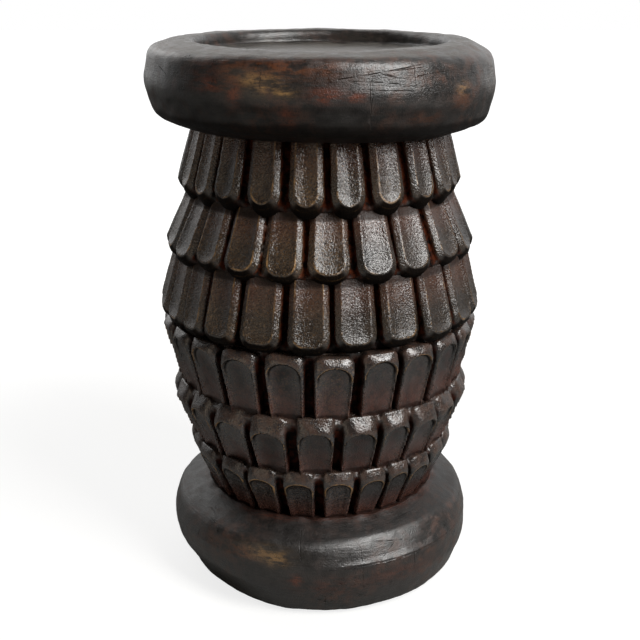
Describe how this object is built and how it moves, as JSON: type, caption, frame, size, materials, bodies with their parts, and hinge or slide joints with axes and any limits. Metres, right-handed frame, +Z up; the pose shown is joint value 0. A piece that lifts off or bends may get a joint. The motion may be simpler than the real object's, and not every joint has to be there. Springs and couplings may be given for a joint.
{
  "type": "carved drum stool",
  "caption": "Round carved wooden stool with a dished seat in a rolled rim, a barrel of overlapping tongue-shaped scales in tiers, and a rolled base ring.",
  "frame": {"origin": "centre of the stool's underside, on the floor", "axes": "+Z up along the stool's axis, -Y towards the side that the picture shows"},
  "size_m": [0.278, 0.278, 0.45],
  "materials": {
    "rolled_ring": "satin",
    "carved_scales": "satin",
    "heartwood": "matte"
  },
  "bodies": {
    "root": {"log_core": "heartwood", "base_ring": "rolled_ring", "standing_scales_lower": "carved_scales", "standing_scales_middle": "carved_scales", "standing_scales_upper": "carved_scales", "hanging_scales_lower": "carved_scales", "hanging_scales_middle": "carved_scales", "hanging_scales_upper": "carved_scales", "seat_rim": "rolled_ring", "seat_dish": "rolled_ring"}
  },
  "joints": []
}
